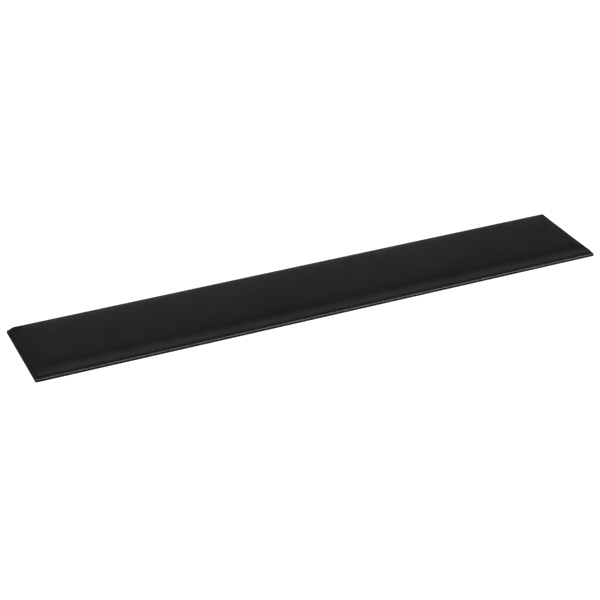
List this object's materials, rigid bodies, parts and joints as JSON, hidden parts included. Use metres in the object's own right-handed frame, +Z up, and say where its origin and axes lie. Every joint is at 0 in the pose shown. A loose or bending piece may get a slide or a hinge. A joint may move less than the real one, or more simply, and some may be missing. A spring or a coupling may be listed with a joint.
{
  "type": "wrist rest",
  "caption": "Slim leatherette keyboard wrist rest: a long, low, soft cushion with piped edges on a thin base with anti-slip feet.",
  "frame": {"origin": "on the resting surface, under the middle of the rest", "axes": "+X along the length, +Y across it, from the user towards the keyboard, +Z up"},
  "size_m": [0.44, 0.0724, 0.0083],
  "materials": {
    "leatherette": "satin",
    "piping_leatherette": "satin",
    "cord_fibre": "matte",
    "foam": "matte",
    "gel": "gloss",
    "film": "gloss",
    "adhesive": "satin",
    "board": "matte",
    "base_plastic": "matte",
    "foot_rubber": "matte"
  },
  "bodies": {
    "root": {"top_cover": "leatherette", "piping_cover": "piping_leatherette", "piping_cord": "cord_fibre", "comfort_foam": "foam", "gel_film": "film", "gel_pad": "gel", "core_adhesive": "adhesive", "wrap_board": "board", "base_tape": "adhesive", "base_panel": "base_plastic", "anti_slip_foot_1": "foot_rubber", "anti_slip_foot_2": "foot_rubber", "anti_slip_foot_3": "foot_rubber", "anti_slip_foot_4": "foot_rubber", "anti_slip_foot_5": "foot_rubber", "anti_slip_foot_6": "foot_rubber", "foot_adhesive_1": "adhesive", "foot_adhesive_2": "adhesive", "foot_adhesive_3": "adhesive", "foot_adhesive_4": "adhesive", "foot_adhesive_5": "adhesive", "foot_adhesive_6": "adhesive"}
  },
  "joints": []
}
